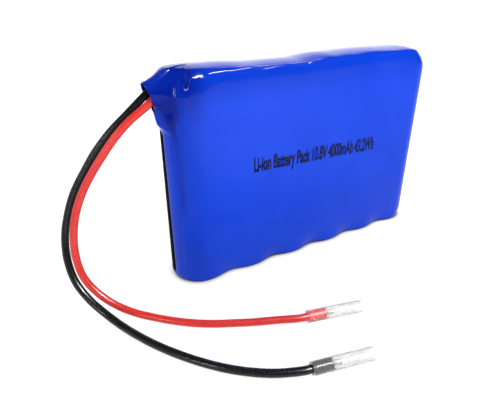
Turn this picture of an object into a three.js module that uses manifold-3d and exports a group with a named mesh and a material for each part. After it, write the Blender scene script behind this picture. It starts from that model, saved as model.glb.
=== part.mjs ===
// A flat lithium-ion battery pack: six cylindrical cells stand side by side in a heat-shrink
// sleeve, three pairs in series, with a protection board on top and two loose output leads. The
// sleeve is a tube that lies along the row and is drawn in over both ends of it.
// Millimetres, +X along the row of cells, +Y through the pack's thickness, +Z up.
// The origin is under the middle of the pack, spout included, on the surface that it stands on.
import * as THREE from "three";
import { mergeVertices } from "three/addons/utils/BufferGeometryUtils.js";
import Module from "manifold-3d";

const wasm = await Module();
wasm.setup();

// ---------------------------------------------------------------- driving dimensions
const CELLS = 6;
const PITCH = 18.5; // between the axes of neighbouring cells
const CELL_R = 9.15; // outside the cell's own wrap
const CELL_H = 65.2; // to the top of the positive button
const CELL_SIDES = 18;
const ROW_HALF = ((CELLS - 1) * PITCH) / 2; // from the middle to the last cell's axis

const SLEEVE_R = 9.85; // half the pack's thickness, and the radius of its round ends
const SLEEVE_T = 0.4;
const PACK_H = 74;
const ROW_X = 2.5; // the middle of the row of cells: half of what the spout adds at the left
const SCALLOP = 2.3; // how far the sleeve is drawn in between two cells at the bottom edge
const SCALLOP_TOP = 9; // height at which the sleeve's sides are flat again

const STACK_GAP = 0.15; // between flat pieces that lie on each other
const BOARD_T = 0.25;
const STRIP_T = 0.2;
const STRIP_W = 7;
const FOAM_T = 1.4;
const PCB = { left: -44, right: 14, halfWidth: 6.8, thick: 1 };

const LEAD_R = 1.2;
const LEAD_SIDES = 8;
const LEAD_STEPS = 42;
const CAP = { outer: 2.0, bore: 1.4, length: 19, overLead: 6, sides: 14 };
const TIP = { radius: 0.75, length: 2.5, gap: 0.3 };

// ---------------------------------------------------------------- levels, from the floor up
const BASE_BOARD_Z = SLEEVE_T + STACK_GAP;
const BASE_STRIP_Z = BASE_BOARD_Z + BOARD_T + STACK_GAP;
const CELL_Z = BASE_STRIP_Z + STRIP_T + STACK_GAP;
const TOP_STRIP_Z = CELL_Z + CELL_H + STACK_GAP;
const TOP_BOARD_Z = TOP_STRIP_Z + STRIP_T + STACK_GAP;
const FOAM_Z = TOP_BOARD_Z + BOARD_T + STACK_GAP;
const PCB_Z = FOAM_Z + FOAM_T + STACK_GAP;
const PCB_TOP = PCB_Z + PCB.thick;
const CHIP_Z = PCB_TOP + STACK_GAP; // underside of what is soldered on the board
const COVER_Z = 72.65;

// ---------------------------------------------------------------- materials
const finish = (color, roughness, metalness) => new THREE.MeshStandardMaterial({ color, roughness, metalness });
const MATERIALS = {
  film: finish(0x1f3fd8, 0.28, 0),
  steel: finish(0xb9bcc0, 0.35, 1),
  wrap: finish(0x3f9a63, 0.4, 0),
  nickel: finish(0xc9c6bd, 0.3, 1),
  paper: finish(0x7d9a86, 0.85, 0),
  foam: finish(0x2c2c2e, 0.95, 0),
  board: finish(0x1c6b3c, 0.45, 0),
  chip: finish(0x1b1b1d, 0.5, 0),
  solder: finish(0xc4c6c8, 0.25, 1),
  glue: finish(0xe6dfc4, 0.5, 0),
  redWire: finish(0xe0322b, 0.4, 0),
  blackWire: finish(0x17171a, 0.4, 0),
  yellowWire: finish(0xd9b02e, 0.45, 0),
  clear: finish(0xf2f3f2, 0.12, 0),
  darkSheet: finish(0x141416, 0.6, 0),
};

// Everything below is placed from the middle of the row of cells.
const pack = new THREE.Group();
pack.position.x = ROW_X;

function add(name, geometry, material, parent = pack) {
  const mesh = new THREE.Mesh(geometry, material);
  mesh.name = name;
  parent.add(mesh);
  return mesh;
}

// ---------------------------------------------------------------- shape helpers
function toSolid(geometry) {
  const bare = geometry.clone();
  bare.deleteAttribute("normal");
  bare.deleteAttribute("uv");
  const merged = mergeVertices(bare, 1e-4);
  return new wasm.Manifold(
    new wasm.Mesh({
      numProp: 3,
      vertProperties: merged.attributes.position.array,
      triVerts: new Uint32Array(merged.index.array),
    }),
  );
}

function toGeometry(solid) {
  const mesh = solid.getMesh();
  const geometry = new THREE.BufferGeometry();
  geometry.setAttribute("position", new THREE.BufferAttribute(new Float32Array(mesh.vertProperties), 3));
  geometry.setIndex(new THREE.BufferAttribute(new Uint32Array(mesh.triVerts), 1));
  geometry.computeVertexNormals();
  return geometry;
}

const joined = (first, ...rest) => toGeometry(rest.reduce((a, b) => a.add(toSolid(b)), toSolid(first)));
const cut = (first, ...rest) => toGeometry(rest.reduce((a, b) => a.subtract(toSolid(b)), toSolid(first)));

// A box from its lowest corner to its highest.
function boxBetween([x0, y0, z0], [x1, y1, z1]) {
  const box = new THREE.BoxGeometry(x1 - x0, y1 - y0, z1 - z0);
  return box.translate((x0 + x1) / 2, (y0 + y1) / 2, (z0 + z1) / 2);
}

// A solid of revolution about Z. The profile is a list of [radius, height].
function turned(profile, sides) {
  const points = profile.map(([r, h]) => new THREE.Vector2(r, h));
  return new THREE.LatheGeometry(points, sides).rotateX(Math.PI / 2);
}

// A tube or ring between two radii, from z0 to z1.
const ring = (inner, outer, z0, z1, sides) =>
  turned([[inner, z0], [outer, z0], [outer, z1], [inner, z1], [inner, z0]], sides);

// A flat plate of a closed outline (Vector2 points), from z to z + thick.
function plate(outline, z, thick) {
  const flat = new THREE.ExtrudeGeometry(new THREE.Shape(outline), { depth: thick, bevelEnabled: false });
  return flat.translate(0, 0, z);
}

function arc(centreX, radius, from, to, steps) {
  return Array.from({ length: steps + 1 }, (_, i) => {
    const angle = from + ((to - from) * i) / steps;
    return new THREE.Vector2(centreX + radius * Math.cos(angle), radius * Math.sin(angle));
  });
}

// A plate outline with half-round ends, whose end circles are centred at x0 and x1.
const stadium = (x0, x1, radius, steps = 6) => [
  ...arc(x1, radius, -Math.PI / 2, Math.PI / 2, steps),
  ...arc(x0, radius, Math.PI / 2, (3 * Math.PI) / 2, steps),
];

const rectangle = (x0, y0, x1, y1) => [
  new THREE.Vector2(x0, y0),
  new THREE.Vector2(x1, y0),
  new THREE.Vector2(x1, y1),
  new THREE.Vector2(x0, y1),
];

// A closed skin through a stack of rings with the same number of points each. The end rings are
// filled in the plane that `flatten` maps them to, where they run anticlockwise seen from the last.
function loft(rings, flatten) {
  const count = rings[0].length;
  const triangles = [];
  for (let k = 0; k < rings.length - 1; k += 1) {
    for (let i = 0; i < count; i += 1) {
      const a = k * count + i;
      const b = k * count + ((i + 1) % count);
      triangles.push(a, b, b + count, a, b + count, a + count);
    }
  }
  const last = (rings.length - 1) * count;
  const endFaces = (points) => THREE.ShapeUtils.triangulateShape(points.map(flatten), []);
  endFaces(rings[0]).forEach(([a, b, c]) => triangles.push(a, c, b));
  endFaces(rings.at(-1)).forEach(([a, b, c]) => triangles.push(last + a, last + b, last + c));
  const geometry = new THREE.BufferGeometry().setFromPoints(rings.flat());
  geometry.setIndex(triangles);
  return geometry;
}

// A round wire along a smooth curve through the points.
function wire(points, radius, sides, steps) {
  const section = new THREE.Shape(
    Array.from({ length: sides }, (_, i) => {
      const angle = (2 * Math.PI * i) / sides;
      return new THREE.Vector2(radius * Math.cos(angle), radius * Math.sin(angle));
    }),
  );
  const route = new THREE.CatmullRomCurve3(points.map((p) => new THREE.Vector3(...p)));
  return new THREE.ExtrudeGeometry(section, { steps, extrudePath: route, bevelEnabled: false });
}

// ---------------------------------------------------------------- shrink sleeve
// The section at one height: straight sides, round ends, and a dip between each two cells.
function sleeveOutline(inset, scallop) {
  const radius = SLEEVE_R - inset;
  const stepsPerCell = 6;
  const steps = (CELLS - 1) * stepsPerCell;
  const endSteps = 20;
  const side = Array.from({ length: steps + 1 }, (_, i) => {
    const x = -ROW_HALF + (i * PITCH) / stepsPerCell;
    const dip = (scallop * (1 + Math.cos((2 * Math.PI * x) / PITCH))) / 2;
    return new THREE.Vector2(x, dip - radius);
  });
  return [
    ...side,
    ...arc(ROW_HALF, radius, -Math.PI / 2, Math.PI / 2, endSteps).slice(1, -1),
    ...side.map((p) => new THREE.Vector2(-p.x, -p.y)),
    ...arc(-ROW_HALF, radius, Math.PI / 2, (3 * Math.PI) / 2, endSteps).slice(1, -1),
  ];
}

// [height, how far the skin stands in from the full outline] up the side and over both edges.
const SLEEVE_PROFILE = [
  [0, 1],
  [0.3, 0.3],
  [1, 0],
  [4, 0],
  [SCALLOP_TOP, 0],
  [66, 0],
  [71.2, 0.9],
  [72.7, 1.6],
  [73.6, 2.9],
  [PACK_H, 4.4],
];

// The spout that the leads leave by: [x, middle height, half width, half height] of its sections.
const SPOUT_Y = -1.25;
const SPOUT = [
  [-50, 64.4, 7.6, 8.6],
  [-54, 65.2, 6.6, 7.9],
  [-57, 65.2, 4.9, 6.1],
  [-59, 65.3, 4, 5.1],
  [-61, 65.4, 3.6, 4.6],
  [-63.5, 65.4, 3.6, 4.6],
];
const SPOUT_SIDES = 14;
const MOUTH = { x: -59.8, z: 65.6, height: 14, lean: THREE.MathUtils.degToRad(17) };

function sleeveBody(wall) {
  const shrink = (PACK_H - 2 * wall) / PACK_H;
  const rings = SLEEVE_PROFILE.map(([z, inset]) => {
    const fade = Math.max(0, 1 - z / SCALLOP_TOP);
    const level = wall + z * shrink;
    const outline = sleeveOutline(inset + wall, SCALLOP * fade ** 2);
    return outline.map((p) => new THREE.Vector3(p.x, p.y, level));
  });
  return toSolid(loft(rings, (p) => new THREE.Vector2(p.x, p.y)));
}

function spoutBody(wall) {
  const rings = SPOUT.map(([x, z, halfWidth, halfHeight]) =>
    Array.from({ length: SPOUT_SIDES }, (_, i) => {
      const angle = (2 * Math.PI * (i + 0.5)) / SPOUT_SIDES;
      const y = SPOUT_Y + (halfWidth - wall) * Math.cos(angle);
      return new THREE.Vector3(x, y, z - (halfHeight - wall) * Math.sin(angle));
    }),
  );
  return toSolid(loft(rings, (p) => new THREE.Vector2(p.y, -p.z)));
}

// What the spout loses beyond the plane in which its mouth lies.
function beyondMouth() {
  const reach = 20;
  const block = new THREE.BoxGeometry(reach, reach, MOUTH.height).translate(-reach / 2, 0, 0);
  return toSolid(block.rotateY(-MOUTH.lean).translate(MOUTH.x, 0, MOUTH.z));
}

// The gap that the sleeve's lips leave open up each end: [from x, middle y, half width, z0, z1].
const OPENING_DEPTH = 10;
const OPENINGS = [
  [-60, 2.3, 2.9, 4, 54.5],
  [50, 0, 2.4, 5, 62],
];

function opening([x, y, halfWidth, z0, z1]) {
  const upright = plate(stadium(z0 + halfWidth, z1 - halfWidth, halfWidth), -OPENING_DEPTH, OPENING_DEPTH);
  return toSolid(upright.rotateY(-Math.PI / 2).translate(x, y, 0));
}

function shrinkSleeve() {
  const outside = sleeveBody(0).add(spoutBody(0));
  const inside = sleeveBody(SLEEVE_T).add(spoutBody(SLEEVE_T));
  const skin = outside.subtract(inside).subtract(beyondMouth());
  const opened = OPENINGS.map(opening).reduce((rest, gap) => rest.subtract(gap), skin);
  add("shrink_sleeve", toGeometry(opened), MATERIALS.film);
}

// ---------------------------------------------------------------- cells
// Pairs stand up, down, up, so that straps across the ends put them in series.
const POSITIVE_UP = [true, true, false, false, true, true];
const CAN = { radius: 8.85, top: 64.4, crimp: 6.9, grooveRadius: 8.2, groove: [60.4, 61, 61.8, 62.4] };
const WRAP = { inner: 9, top: 64.9 };
const WASHER = { inner: 4.6, outer: 8.75, bottom: 64.55, top: 64.75 };
const BUTTON = { radius: 4.2, chamfer: 0.3 };

function canGeometry() {
  const [g0, g1, g2, g3] = CAN.groove;
  const bottomEdge = 0.6;
  const profile = [
    [0, 0],
    [CAN.radius - bottomEdge, 0],
    [CAN.radius, bottomEdge],
    [CAN.radius, g0],
    [CAN.grooveRadius, g1],
    [CAN.grooveRadius, g2],
    [CAN.radius, g3],
    [CAN.radius, CAN.top - bottomEdge],
    [CAN.crimp, CAN.top],
    [0, CAN.top],
  ];
  return turned(profile, CELL_SIDES);
}

function buttonGeometry() {
  const profile = [
    [0, WASHER.bottom],
    [BUTTON.radius, WASHER.bottom],
    [BUTTON.radius, CELL_H - BUTTON.chamfer],
    [BUTTON.radius - BUTTON.chamfer, CELL_H],
    [0, CELL_H],
  ];
  return turned(profile, CELL_SIDES);
}

function cells() {
  POSITIVE_UP.forEach((up, i) => {
    const name = `cell_${i + 1}`;
    const cell = new THREE.Group();
    cell.position.set(i * PITCH - ROW_HALF, 0, up ? CELL_Z : CELL_Z + CELL_H);
    cell.rotation.x = up ? 0 : Math.PI;
    pack.add(cell);
    add(`${name}_can`, canGeometry(), MATERIALS.steel, cell);
    add(`${name}_wrap`, ring(WRAP.inner, CELL_R, 0, WRAP.top, CELL_SIDES), MATERIALS.wrap, cell);
    const { inner, outer, bottom, top } = WASHER;
    add(`${name}_washer`, ring(inner, outer, bottom, top, CELL_SIDES), MATERIALS.paper, cell);
    add(`${name}_button`, buttonGeometry(), MATERIALS.steel, cell);
  });
}

// A short run of hot glue in the groove between each two cells, on the front.
function glueBeads() {
  const bead = { across: 1, along: 11, depth: 5, height: 34 };
  for (let i = 1; i < CELLS; i += 1) {
    const drop = new THREE.SphereGeometry(1, 8, 6).rotateX(Math.PI / 2);
    const x = (i - CELLS / 2) * PITCH;
    drop.scale(bead.across, bead.across, bead.along).translate(x, -bead.depth, bead.height);
    add(`glue_bead_${i}`, drop, MATERIALS.glue);
  }
}

// ---------------------------------------------------------------- nickel strips
const cellX = (number) => (number - 1) * PITCH - ROW_HALF;
const STRIP_END = 4.6; // how far a strip runs past the first and the last cell's axis
const WELD_SLOT = { length: 5, width: 1 };

// A strip over the ends of some neighbouring cells, slotted where it is welded to each.
function stripPlate(firstCell, lastCell, z) {
  const weldSlots = [];
  for (let n = firstCell; n <= lastCell; n += 1) {
    const x = cellX(n);
    const [halfLength, halfWidth] = [WELD_SLOT.length / 2, WELD_SLOT.width / 2];
    const low = [x - halfLength, -halfWidth, z - STRIP_T];
    weldSlots.push(boxBetween(low, [x + halfLength, halfWidth, z + 2 * STRIP_T]));
  }
  const x0 = cellX(firstCell) - STRIP_END;
  const x1 = cellX(lastCell) + STRIP_END;
  return cut(boxBetween([x0, -STRIP_W / 2, z], [x1, STRIP_W / 2, z + STRIP_T]), ...weldSlots);
}

// A tab that leaves a top strip at the back, stands up beside the board and folds over it.
const TAB = { outside: 8, foldIn: 5, foldZ: PCB_TOP + 0.3 };
function risingTab(x, width) {
  const strip = STRIP_W / 2 - 1;
  const foldTop = TAB.foldZ + STRIP_T;
  return [
    boxBetween([x, strip, TOP_STRIP_Z], [x + width, TAB.outside, TOP_STRIP_Z + STRIP_T]),
    boxBetween([x, TAB.outside - STRIP_T, TOP_STRIP_Z], [x + width, TAB.outside, foldTop]),
    boxBetween([x, TAB.foldIn, TAB.foldZ], [x + width, TAB.outside, foldTop]),
  ];
}

// A pad on a bottom strip that reaches out under a wire in the groove between two cells.
const GROOVE_Y = 5.4;
const groovePad = (x) =>
  boxBetween([x - 1.5, STRIP_W / 2 - 1, BASE_STRIP_Z], [x + 1.5, GROOVE_Y + 1, BASE_STRIP_Z + STRIP_T]);

const SENSE_GROOVE_X = -PITCH;
const RETURN_GROOVE_X = 2 * PITCH;
const PLUS_TAB = { x: -36, width: 5 };
const LINK_TAB = { x: -6, width: 2.5 };

function nickelStrips() {
  const plusTab = risingTab(PLUS_TAB.x, PLUS_TAB.width);
  const linkTab = risingTab(LINK_TAB.x, LINK_TAB.width);
  const strips = {
    strip_plus: joined(stripPlate(1, 2, TOP_STRIP_Z), ...plusTab),
    strip_link_top: joined(stripPlate(3, 6, TOP_STRIP_Z), ...linkTab),
    strip_link_base: joined(stripPlate(1, 4, BASE_STRIP_Z), groovePad(SENSE_GROOVE_X)),
    strip_minus: joined(stripPlate(5, 6, BASE_STRIP_Z), groovePad(RETURN_GROOVE_X)),
  };
  Object.entries(strips).forEach(([name, geometry]) => add(name, geometry, MATERIALS.nickel));
}

// ---------------------------------------------------------------- insulation
const END_SHEET = { inner: 9.22, outer: 9.38, spread: THREE.MathUtils.degToRad(70), z0: 3, steps: 14 };

// The black sheet bent round the outside of the first (side -1) or the last (side 1) cell. It ends
// just over the top of the opening there.
function endSheet(side, z1) {
  const { inner, outer, spread, z0, steps } = END_SHEET;
  const middle = side < 0 ? Math.PI : 0;
  const centreX = side * ROW_HALF;
  const outline = [
    ...arc(centreX, outer, middle - spread, middle + spread, steps),
    ...arc(centreX, inner, middle + spread, middle - spread, steps),
  ];
  return plate(outline, z0, z1 - z0);
}

function insulation() {
  const base = sleeveOutline(2.2, SCALLOP * 0.8);
  add("base_board", plate(base, BASE_BOARD_Z, BOARD_T), MATERIALS.paper);
  add("top_board", plate(stadium(-45, 46, 6.9), TOP_BOARD_Z, BOARD_T), MATERIALS.paper);
  add("cover_paper", plate(stadium(-40, 45, 5.4), COVER_Z, BOARD_T), MATERIALS.paper);
  add("end_sheet_left", endSheet(-1, 56.5), MATERIALS.darkSheet);
  add("end_sheet_right", endSheet(1, 64), MATERIALS.darkSheet);
  const pad = rectangle(PCB.left + 1, -5.5, PCB.right - 1, 5.5);
  add("foam_pad", plate(pad, FOAM_Z, FOAM_T), MATERIALS.foam);
}

// ---------------------------------------------------------------- protection board
// A moulded chip with a row of flat legs along each long side.
function legged(x, y, body, legs) {
  const [length, width, height] = body;
  const bottom = CHIP_Z + 0.1;
  const block = boxBetween([x - length / 2, y - width / 2, bottom], [x + length / 2, y + width / 2, bottom + height]);
  const reach = width / 2 + 1;
  const legWidth = 0.4;
  const legTop = CHIP_Z + 0.3;
  const feet = [];
  for (let i = 0; i < legs; i += 1) {
    const legX = x + ((i + 0.5) / legs - 0.5) * length;
    feet.push(boxBetween([legX - legWidth / 2, y - reach, CHIP_Z], [legX + legWidth / 2, y + reach, legTop]));
  }
  return joined(block, ...feet);
}

// A chip resistor: a ceramic bar with a raised metal cap at each end.
function senseResistor(x, y) {
  const bar = boxBetween([x - 3, y - 1.5, CHIP_Z + 0.05], [x + 3, y + 1.5, CHIP_Z + 0.6]);
  const end = (x0) => boxBetween([x0, y - 1.6, CHIP_Z], [x0 + 0.8, y + 1.6, CHIP_Z + 0.7]);
  return joined(bar, end(x - 3.2), end(x + 2.4));
}

function solderDome(name, x, y, z, radius) {
  const height = radius * 0.7;
  const profile = [[0, 0], [radius, 0], [radius * 0.8, height * 0.55], [radius * 0.4, height * 0.9], [0, height]];
  add(name, turned(profile, 10).translate(x, y, z), MATERIALS.solder);
}

function protectionBoard() {
  const outline = rectangle(PCB.left, -PCB.halfWidth, PCB.right, PCB.halfWidth);
  add("protection_board", plate(outline, PCB_Z, PCB.thick), MATERIALS.board);
  const mosfet = [5, 4, 1.4];
  add("mosfet_1", legged(-27, -2.6, mosfet, 4), MATERIALS.chip);
  add("mosfet_2", legged(-20, -2.6, mosfet, 4), MATERIALS.chip);
  add("control_chip", legged(-9, -2.6, [3, 1.8, 1.1], 3), MATERIALS.chip);
  add("sense_resistor", senseResistor(2, -2.6), MATERIALS.chip);
  const onTab = TAB.foldZ + STRIP_T + STACK_GAP;
  const domeY = (TAB.foldIn + TAB.outside) / 2 - 0.2;
  solderDome("solder_plus_strip", PLUS_TAB.x + PLUS_TAB.width / 2, domeY, onTab, 1.1);
  solderDome("solder_link_strip", LINK_TAB.x + LINK_TAB.width / 2, domeY, onTab, 0.9);
  solderDome("solder_red_lead", -37, -3, CHIP_Z, 1.6);
  solderDome("solder_black_lead", -37, 3, CHIP_Z, 1.6);
  solderDome("solder_sense_wire", SENSE_GROOVE_X, 3.2, CHIP_Z, 1);
  solderDome("solder_return_wire", 8.4, 2, CHIP_Z, 1.4);
}

// ---------------------------------------------------------------- wires inside the pack
const GROOVE_FOOT = BASE_STRIP_Z + STRIP_T + 0.3;

function innerWires() {
  const sense = [
    [SENSE_GROOVE_X, GROOVE_Y, GROOVE_FOOT],
    [SENSE_GROOVE_X, GROOVE_Y, 30],
    [SENSE_GROOVE_X, GROOVE_Y + 0.2, 58],
    [SENSE_GROOVE_X, 7.6, 65.5],
    [SENSE_GROOVE_X, 7.8, 69],
    [SENSE_GROOVE_X, 6.8, 70.9],
    [SENSE_GROOVE_X, 4.8, 71],
  ];
  add("sense_wire", wire(sense, 0.55, 6, 26), MATERIALS.yellowWire);
  const back = [
    [RETURN_GROOVE_X, GROOVE_Y, GROOVE_FOOT],
    [RETURN_GROOVE_X, GROOVE_Y, 30],
    [RETURN_GROOVE_X, GROOVE_Y + 0.2, 56],
    [RETURN_GROOVE_X, 7.8, 64],
    [36.2, 8, 67.4],
    [32, 6.4, 69.6],
    [24, 3.6, 70.4],
    [16, 2.2, 71],
    [10.4, 2, 71.1],
  ];
  add("return_wire", wire(back, 0.9, 6, 34), MATERIALS.blackWire);
}

// ---------------------------------------------------------------- output leads
// Each route starts at its solder joint on the board, leaves by the spout, hangs in an arc, lies on
// the floor and ends where the insulation ends. Its last two points give the line of the end cap.
const RED_ROUTE = [
  [-39.4, -3, 71.35],
  [-44.5, -3, 71.3],
  [-49.5, -2.9, 70.6],
  [-53.8, -2.8, 69],
  [-57.3, -2.7, 66.6],
  [-60.3, -2.6, 63.9],
  [-66.1, -2.4, 60],
  [-70.9, -1.8, 55.5],
  [-75.2, -1, 50.2],
  [-79.2, -0.2, 44.7],
  [-82.8, 0.3, 38.8],
  [-85.6, 0.1, 32.7],
  [-87.4, -0.7, 26.2],
  [-88.1, -2.2, 19.6],
  [-87.3, -4.6, 13.3],
  [-84.4, -7.6, 8.1],
  [-80.3, -11.3, 4.3],
  [-75.5, -15.5, 2.1],
  [-70.8, -19.8, 1.4],
  [-66.2, -24.2, 1.3],
  [-61.2, -28.3, 1.3],
  [-55.9, -31.8, 1.3],
  [-50.2, -34.8, 1.3],
  [-44.6, -37.7, 1.4],
  [-38.4, -40.7, 1.7],
  [-31.8, -44.0, 2.0],
  [-23.7, -46.1, 2.0],
];
const BLACK_ROUTE = [
  [-39.4, 3, 71.35],
  [-44.5, 2.4, 71.4],
  [-49.5, 1.5, 71.4],
  [-53.6, 0.7, 70.4],
  [-57.2, 0.4, 68.4],
  [-60.5, 0.3, 65.8],
  [-66, 0.5, 61.2],
  [-71.5, 1.2, 56.4],
  [-76.3, 2.1, 51],
  [-80.5, 2.9, 45],
  [-84.4, 3.5, 38.8],
  [-87.4, 3.4, 32.1],
  [-89.6, 2.4, 25.1],
  [-90.5, 0.1, 18.1],
  [-89.8, -3.3, 11.7],
  [-87.2, -7.8, 6.6],
  [-83.7, -13.3, 3.2],
  [-80.4, -19.4, 1.6],
  [-77.3, -25.6, 1.3],
  [-74, -31.7, 1.3],
  [-70.2, -37.6, 1.3],
  [-66, -43.2, 1.3],
  [-61.4, -48.4, 1.3],
  [-56.2, -53.1, 1.3],
  [-50.1, -57.6, 1.6],
  [-43.1, -61.1, 2.0],
  [-35.2, -63.0, 2.0],
];

// The direction of a lead's straight end, and where its insulation ends.
function leadEnd(route) {
  const [before, end] = route.slice(-2).map((p) => new THREE.Vector3(...p));
  return { end, along: end.clone().sub(before).normalize() };
}

// The route with extra points on its straight end, so that the curve is straight there too.
function withStraightEnd(route) {
  const parts = 4;
  const [before, end] = route.slice(-2).map((p) => new THREE.Vector3(...p));
  const extra = Array.from({ length: parts }, (_, i) => before.clone().lerp(end, (i + 1) / parts).toArray());
  return [...route.slice(0, -1), ...extra];
}

// A mesh built along +Z, turned to lie along a direction from a point.
function lieAlong(mesh, start, along) {
  mesh.quaternion.setFromUnitVectors(new THREE.Vector3(0, 0, 1), along);
  mesh.position.copy(start);
}

function outputLead(colour, route, material) {
  add(`${colour}_lead`, wire(withStraightEnd(route), LEAD_R, LEAD_SIDES, LEAD_STEPS), material);
  const { end, along } = leadEnd(route);
  const tipProfile = [[0, 0], [TIP.radius, 0], [TIP.radius, TIP.length - 0.4], [TIP.radius - 0.4, TIP.length], [0, TIP.length]];
  const tip = add(`${colour}_tinned_end`, turned(tipProfile, 10), MATERIALS.solder);
  lieAlong(tip, end.clone().addScaledVector(along, TIP.gap), along);
  const cap = add(`${colour}_end_cap`, ring(CAP.bore, CAP.outer, 0, CAP.length, CAP.sides), MATERIALS.clear);
  lieAlong(cap, end.clone().addScaledVector(along, -CAP.overLead), along);
}

shrinkSleeve();
cells();
glueBeads();
nickelStrips();
insulation();
protectionBoard();
innerWires();
outputLead("red", RED_ROUTE, MATERIALS.redWire);
outputLead("black", BLACK_ROUTE, MATERIALS.blackWire);

export default pack;
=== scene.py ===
"""A flat battery pack in blue shrink film with two free leads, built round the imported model.

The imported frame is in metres: X along the row of cells, Y through the pack, Z up. Most shapes are
worked out here in millimetres in row coordinates, whose X is zero in the middle of the row of cells,
and to_frame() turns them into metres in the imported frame.
"""

import math

import bmesh
import bpy
import numpy as np
from mathutils import Matrix, Vector


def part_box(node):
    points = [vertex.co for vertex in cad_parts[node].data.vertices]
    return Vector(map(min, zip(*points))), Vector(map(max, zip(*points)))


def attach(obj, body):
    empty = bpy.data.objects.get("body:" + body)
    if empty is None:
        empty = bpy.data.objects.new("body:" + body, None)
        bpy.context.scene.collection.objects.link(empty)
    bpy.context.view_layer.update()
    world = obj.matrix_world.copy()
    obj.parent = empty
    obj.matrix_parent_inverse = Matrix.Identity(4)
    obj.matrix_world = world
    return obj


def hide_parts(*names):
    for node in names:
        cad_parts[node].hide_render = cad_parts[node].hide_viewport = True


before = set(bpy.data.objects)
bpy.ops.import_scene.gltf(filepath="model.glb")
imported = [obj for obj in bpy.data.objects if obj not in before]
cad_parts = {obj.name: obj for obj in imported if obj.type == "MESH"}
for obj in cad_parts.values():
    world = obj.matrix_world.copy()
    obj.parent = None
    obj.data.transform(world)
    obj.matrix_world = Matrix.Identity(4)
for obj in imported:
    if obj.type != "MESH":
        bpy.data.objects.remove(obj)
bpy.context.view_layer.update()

MM = 0.001  # in metres
SLEEVE_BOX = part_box("shrink_sleeve")
FIRST_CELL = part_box("cell_1_can")
LAST_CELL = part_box("cell_6_can")
ROW_X = (FIRST_CELL[0].x + LAST_CELL[1].x) / 2  # where the middle of the row of cells is
FILM_R = SLEEVE_BOX[1].y / MM  # half the pack's thickness, and the radius of its round ends
PITCH = (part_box("cell_2_can")[0].x - FIRST_CELL[0].x) / MM
ROW_HALF = 2.5 * PITCH  # from the middle of the row to the last cell's axis


def to_frame(points):
    """Row millimetres to packed-frame metres."""
    return np.asarray(points, float) * MM + (ROW_X, 0, 0)


# ---------------------------------------------------------------- camera
CAMERA_AT = (-0.09493, -0.12419, 0.09259)
CAMERA_YAW = 30.21  # degrees from +Y towards +X
CAMERA_PITCH = 25.83  # degrees below the horizon
CAMERA_ROLL = 0.19
SENSOR_WIDTH = 36  # millimetres
CAMERA_LENS = 30.64  # millimetres


def make_camera():
    camera = bpy.data.objects.new("camera", bpy.data.cameras.new("camera"))
    bpy.context.scene.collection.objects.link(camera)
    camera.data.sensor_width = SENSOR_WIDTH
    camera.data.lens = CAMERA_LENS
    camera.data.clip_start = 0.005
    camera.data.clip_end = 50
    turn = Matrix.Rotation(-math.radians(CAMERA_YAW), 4, "Z")
    tilt = Matrix.Rotation(math.radians(90 - CAMERA_PITCH), 4, "X")
    roll = Matrix.Rotation(-math.radians(CAMERA_ROLL), 4, "Z")
    camera.matrix_world = Matrix.Translation(CAMERA_AT) @ turn @ tilt @ roll
    bpy.context.scene.camera = camera


make_camera()


# ---------------------------------------------------------------- node materials
class Finish:
    """A procedural material: one Principled shader, and nodes that vary it over the surface."""

    def __init__(self, name, color, roughness, **sockets):
        self.material = bpy.data.materials.new(name)
        self.material.use_nodes = True
        self.tree = self.material.node_tree
        self.shader = self.tree.nodes["Principled BSDF"]
        self.set("Base Color", (*color, 1))
        self.set("Roughness", roughness)
        for socket, value in sockets.items():
            self.set(socket.replace("_", " "), value)
        self.place = self.node("ShaderNodeTexCoord").outputs["Object"]
        self.normal = None

    def set(self, socket, value):
        self.shader.inputs[socket].default_value = value

    def node(self, kind, **inputs):
        made = self.tree.nodes.new(kind)
        for socket, value in inputs.items():
            socket = made.inputs[socket.replace("_", " ")]
            if isinstance(value, bpy.types.NodeSocket):
                self.tree.links.new(value, socket)
            else:
                socket.default_value = value
        return made

    def link(self, output, socket):
        self.tree.links.new(output, self.shader.inputs[socket])

    def noise(self, size_mm, detail=3, rough=0.5, stretch=(1, 1, 1)):
        """Noise with features about size_mm wide, longer along an axis whose stretch is over 1."""
        scale = [1 / s for s in stretch]
        mapping = self.node("ShaderNodeMapping", Vector=self.place, Scale=scale)
        texture = self.node(
            "ShaderNodeTexNoise",
            Vector=mapping.outputs["Vector"],
            Scale=1 / (size_mm * MM),
            Detail=detail,
            Roughness=rough,
        )
        return texture.outputs["Fac"]

    def ramp(self, value, *stops):
        """Colours or grey levels along a 0 to 1 value: each stop is (position, colour)."""
        made = self.node("ShaderNodeValToRGB", Fac=value)
        elements = made.color_ramp.elements
        while len(elements) < len(stops):
            elements.new(0.5)
        for element, (position, color) in zip(elements, stops):
            element.position = position
            element.color = (*color, 1) if isinstance(color, tuple) else (color, color, color, 1)
        return made.outputs["Color"]

    def mix(self, share, first, second):
        made = self.node("ShaderNodeMix")
        made.data_type = "RGBA"
        for socket, value in ((0, share), (6, first), (7, second)):
            if isinstance(value, bpy.types.NodeSocket):
                self.tree.links.new(value, made.inputs[socket])
            else:
                made.inputs[socket].default_value = value if socket == 0 else (*value, 1)
        return made.outputs[2]

    def maths(self, operation, first, second=0.0):
        made = self.node("ShaderNodeMath")
        made.operation = operation
        for socket, value in zip(made.inputs, (first, second)):
            if isinstance(value, bpy.types.NodeSocket):
                self.tree.links.new(value, socket)
            else:
                socket.default_value = value
        return made.outputs[0]

    def bump(self, height, depth_mm):
        """Adds a bump of this depth on top of any bump added before."""
        made = self.node("ShaderNodeBump", Height=height, Distance=depth_mm * MM, Strength=1.0)
        if self.normal is not None:
            self.tree.links.new(self.normal, made.inputs["Normal"])
        self.normal = made.outputs["Normal"]
        self.link(self.normal, "Normal")


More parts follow.
